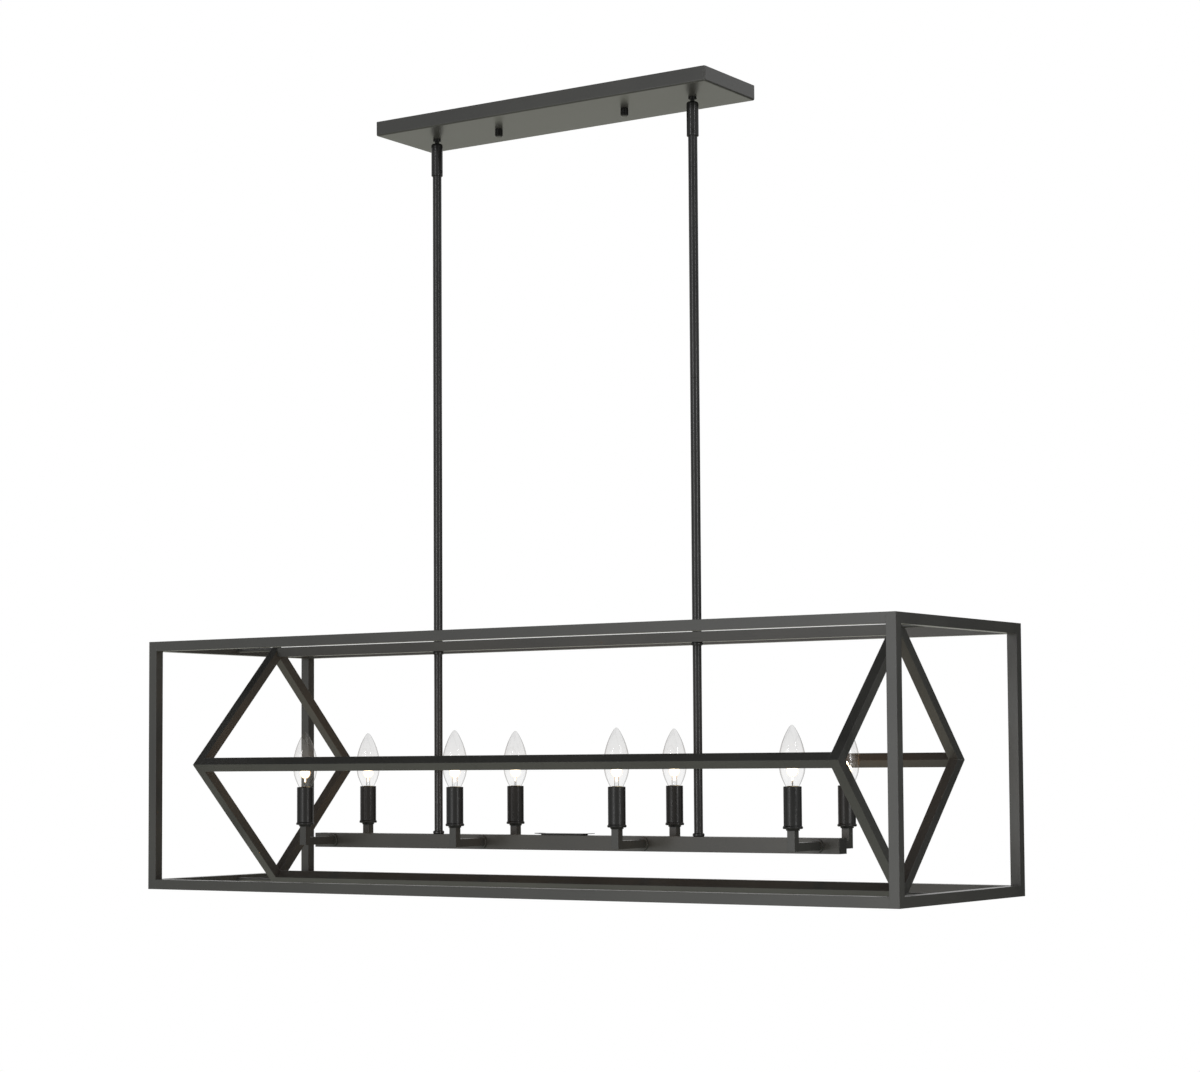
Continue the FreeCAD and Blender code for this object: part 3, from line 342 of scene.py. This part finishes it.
def coil_path():
    """Filament wound in a fine coil along an arch."""
    path = []
    for k in range(COIL_STEPS + 1):
        share = k / COIL_STEPS
        angle = math.pi * share
        spin = 2 * math.pi * COIL_TURNS * share
        lift = COIL_RADIUS * math.cos(spin)
        path.append((-ARCH_HALF_WIDTH * math.cos(angle) - lift * math.cos(angle) * 0.8,
                     COIL_RADIUS * math.sin(spin),
                     ARCH_FOOT + ARCH_HEIGHT * math.sin(angle) + lift * math.sin(angle)))
    return path


def lamp_inside(name, x, y, body, turn):
    """Screw base, glass mount, leads, supports, coiled filament and painted glow shells of one lamp."""
    s = Shape()
    shell = list(BASE_TIP)
    for k in range(THREADS):
        base = THREAD_START + THREAD_PITCH * k
        shell += [(5.95, base), (5.45, base + 0.5), (5.45, base + 0.9), (5.95, base + 1.4)]
    s.turn(shell + BASE_COLLAR, IN_BRASS)
    s.turn(MOUNT, IN_GLASS, around=20)
    for sign in (-1, 1):
        s.sweep([(sign * u, 0, z) for u, z in LEAD], LEAD_RADIUS, IN_LEADS, around=6)
    for sign in (-1, 1):
        for reach, top in SUPPORTS:
            support = [(0, 0, 12.0), (sign * 1.2, reach * 0.5, 17.0), (sign * reach, reach, top)]
            s.sweep(support, SUPPORT_RADIUS, IN_LEADS, around=5)
    s.sweep(coil_path(), COIL_WIRE_RADIUS, IN_HOT, around=5)
    # Painted glow shells round the filament.
    for reach, tall, level in PAINTED_GLOWS:
        ball = [(reach * math.sin(math.pi * k / 12), level - tall * math.cos(math.pi * k / 12))
                for k in range(13)]
        s.turn(ball, IN_PAINTED_GLOW, around=24)
    obj = s.finish(name, LAMP_MATERIALS)
    obj.matrix_world = Matrix.Translation((x, y, NECK_Z)) @ Matrix.Rotation(turn, 4, "Z")
    obj.visible_glossy = False
    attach(obj, body)
    return obj


# Outline of the lamp glass, radius and height above the neck, from the neck to the tip.
GLASS_OUTLINE = [(7.3, -2.6), (9.2, 0.0), (13.9, 10.5), (16.4, 20.0), (17.2, 32.0), (16.4, 43.0),
                 (13.7, 54.5), (10.3, 64.0), (6.5, 72.0), (3.1, 77.4), (0.0, 79.6)]
GLASS_HEIGHT_SHARE = 0.982  # the heights above, brought down to the tip seen in the photograph


def smooth_outline(points, steps=7):
    """Points on a smooth curve through the outline."""
    ends = [(2 * points[0][0] - points[1][0], 2 * points[0][1] - points[1][1])]
    ends += points + [(-points[-2][0], points[-2][1])]
    curve = []
    for i in range(1, len(ends) - 2):
        a, b, c, d = (Vector(p) for p in ends[i - 1:i + 3])
        for k in range(steps):
            t = k / steps
            curve.append(0.5 * (2 * b + (c - a) * t + (2 * a - 5 * b + 4 * c - d) * t ** 2
                                + (3 * b - a - 3 * c + d) * t ** 3))
    curve.append(Vector(points[-1]))
    return [(max(p.x, 0.0), p.y) for p in curve]


def lamp_glass(name, x, y, body):
    """Thin torpedo-shaped glass."""
    s = Shape()
    s.turn([(r, z * GLASS_HEIGHT_SHARE) for r, z in smooth_outline(GLASS_OUTLINE)], 0, around=48)
    obj = s.finish(name, [GLASS])
    obj.location = (x, y, NECK_Z)
    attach(obj, body)
    return obj


# Each lamp: its label, its turn about its own axis and its place.
LAMPS = [("%s_%d" % (face, k + 1), 0.5 + 0.9 * k + sign, x, sign * ARM_REACH)
         for face, sign in (("front", -1), ("back", 1)) for k, x in enumerate(LAMP_X)]

for label, turn, x, y in LAMPS:
    glass = lamp_glass("lamp_glass_" + label, x, y, "bulb_" + label)
    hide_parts("bulb_glass_" + label)
    inside = lamp_inside("lamp_inside_" + label, x, y, "bulb_" + label, turn)
    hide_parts("bulb_base_" + label)

# ------------------------------------------------------------------ cups and set screws
CUP = [(8.0, 0.0), (8.7, 0.0), (8.9, 0.3), (8.9, 1.7), (9.2, 2.0), (11.6, 2.1), (12.5, 2.4), (13.0, 3.2),
       (13.0, 4.4), (12.6, 5.3), (12.1, 5.8), (11.9, 6.1), (11.86, 5.0), (11.86, 3.6)]
cups = Shape()
for _, _, x, y in LAMPS:
    cups.turn(CUP, 0, (x, y, ARM_TOP), 40)
cup_set = cups.finish("lamp_cup_finish", [SLEEVE])
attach(cup_set, "fixture")
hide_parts("lamp_cups")

SCREW = [(1.95, -2.2), (1.95, 0.4), (2.3, 0.5), (2.3, 1.0), (2.0, 1.3), (1.2, 1.3), (1.05, 1.1),
         (1.0, 0.2), (0.0, 0.2)]
for side, x, degrees in (("left", -STEM_X, -8.0), ("right", STEM_X, -58.0)):
    screw = Shape()
    screw.turn(SCREW, 0, around=24)
    obj = screw.finish("set_screw_" + side, [GLOSS])
    obj.matrix_world = (Matrix.Translation((x, 0, SET_SCREW_Z))
                        @ Matrix.Rotation(math.radians(degrees), 4, "Z")
                        @ Matrix.Translation((SWIVEL_SLEEVE_RADIUS, 0, 0))
                        @ Matrix.Rotation(math.radians(90), 4, "Y"))
    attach(obj, "fixture")
    # Both solid screws are one CAD node, so only one of these replaces it.
    if side == "right":
        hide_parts("swivel_set_screws")

# ------------------------------------------------------------------ camera, solved from the photograph
YAW, PITCH, ROLL = math.radians(33.48), math.radians(3.58), math.radians(-0.355)
CAMERA_PLACE = (2.1079, -3.0943, CAGE_MIDDLE - 0.0068)
PHOTO_WIDTH = 1200.0      # pixels
PHOTO_MIDDLE_ROW = 536.0
OPTICAL_ROW = 598.5       # row on which the lens is centred
FOCAL_PIXELS = 2694.0
SENSOR = 36.0             # millimetres

forward = Vector((-math.sin(YAW) * math.cos(PITCH), math.cos(YAW) * math.cos(PITCH), math.sin(PITCH)))
right = Vector((math.cos(YAW), math.sin(YAW), 0.0))
up = right.cross(forward)
tilted_right = right * math.cos(ROLL) + up * math.sin(ROLL)
tilted_up = up * math.cos(ROLL) - right * math.sin(ROLL)
camera = link_object("camera", bpy.data.cameras.new("camera"))
turned = Matrix((tilted_right, tilted_up, -forward)).transposed().to_4x4()
camera.matrix_world = Matrix.Translation(CAMERA_PLACE) @ turned
camera.data.sensor_width = SENSOR
camera.data.lens = FOCAL_PIXELS * SENSOR / PHOTO_WIDTH
camera.data.shift_x = 0.0
camera.data.shift_y = (OPTICAL_ROW - PHOTO_MIDDLE_ROW) / PHOTO_WIDTH
camera.data.clip_end = 50.0
scene.camera = camera

# ------------------------------------------------------------------ light
FILAMENT_HEIGHT = 0.033
FLOOR_Z = -2.4
FLOOR_REACH = 15
PLAIN_WORLD = 0.30  # strength of the world as a light; what is seen of it is white


def area(name, size, power, place, target, color=(1, 1, 1)):
    lamp = bpy.data.lights.new(name, "AREA")
    lamp.shape = "RECTANGLE"
    lamp.size, lamp.size_y = size
    lamp.energy = power
    lamp.color = color
    obj = link_object(name, lamp)
    aim = Vector(target) - Vector(place)
    obj.matrix_world = Matrix.Translation(place) @ aim.to_track_quat("-Z", "Y").to_matrix().to_4x4()
    obj.visible_camera = False
    return obj


def candle_light(name, x, y, body):
    """Warm light of one filament on the pieces round it."""
    lamp = bpy.data.lights.new(name, "POINT")
    lamp.energy = 0.35
    lamp.color = (1.0, 0.50, 0.17)
    lamp.shadow_soft_size = 0.006
    obj = link_object(name, lamp)
    obj.location = (x, y, NECK_Z + FILAMENT_HEIGHT)
    obj.visible_glossy = False
    obj.visible_transmission = False
    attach(obj, body)


def card(name, mat, corners):
    """Flat card that the camera does not see."""
    obj = new_object(name, corners, [(0, 1, 2, 3)], [mat], smooth=False)
    obj.visible_camera = False
    obj.visible_transmission = False
    return obj


for label, _, x, y in LAMPS:
    candle_light("candle_light_" + label, x, y, "bulb_" + label)

# Dark cards out of the camera's sight: one high over the cage, one behind its right end.
DARK = coat("dark_card", (0.015, 0.015, 0.015), (0.02, 0.02, 0.02), 0.9, 0.0)
card("dark_ceiling", DARK, [(-2.6, -1.1, 0.6), (0.3, -1.1, 0.6), (0.3, 0.8, 0.6),
                            (-2.6, 0.8, 0.6)]).visible_shadow = False
card("dark_screen", DARK, [(0.3, 3.2, -3.0), (2.6, 2.3, -3.0), (2.6, 2.3, 0.0),
                           (0.3, 3.2, 0.0)]).visible_shadow = False

# The pale floor far below, seen only in reflections.
floor_tree = material("floor_colour")
clouds = floor_tree.add("TexNoise", {"Vector": floor_tree.place(), "Scale": 0.4}).outputs["Fac"]
tint = floor_tree.ramp(clouds, (0.56, 0.57, 0.49), (0.62, 0.63, 0.54))
floor_tree.show(floor_tree.add("Emission", {"Color": tint, "Strength": 1.0}).outputs[0])
card("floor", floor_tree.owner, [(u * FLOOR_REACH, v * FLOOR_REACH, FLOOR_Z)
                                 for u, v in ((-1, -1), (1, -1), (1, 1), (-1, 1))])

area("lamp_right", (0.5, 1.2), 3.5, (1.3, -0.3, -0.8), (0.5, 0, -0.8))
area("lamp_front", (3.0, 2.4), 32.0, (-0.8, -3.8, -0.5), (0, 0, -0.6))
area("strip_front", (0.15, 3.0), 22.0, (-0.3, -3.5, -0.4), (0, 0, -0.6))
area("strip_right", (0.15, 3.0), 20.0, (3.2, -1.0, -0.4), (0, 0, -0.6))
lamp_floor = area("lamp_floor", (4.0, 3.0), 45.0, (0.0, -0.3, -2.3), (0, 0, -0.9), (1.0, 1.0, 0.92))
lamp_floor.visible_glossy = False

world = bpy.data.worlds.new("white")
scene.world = world
w = Tree(world)
rays = w.add("LightPath").outputs
seen = w.math("MAXIMUM", w.math("MAXIMUM", rays["Is Camera Ray"], rays["Is Glossy Ray"]),
              rays["Is Transmission Ray"])
light = w.add("Background", {"Color": (1, 1, 1, 1), "Strength": PLAIN_WORLD}).outputs[0]
white = w.add("Background", {"Color": (1, 1, 1, 1), "Strength": 1.0}).outputs[0]
w.show(w.add("MixShader", {0: seen, 1: light, 2: white}).outputs[0])
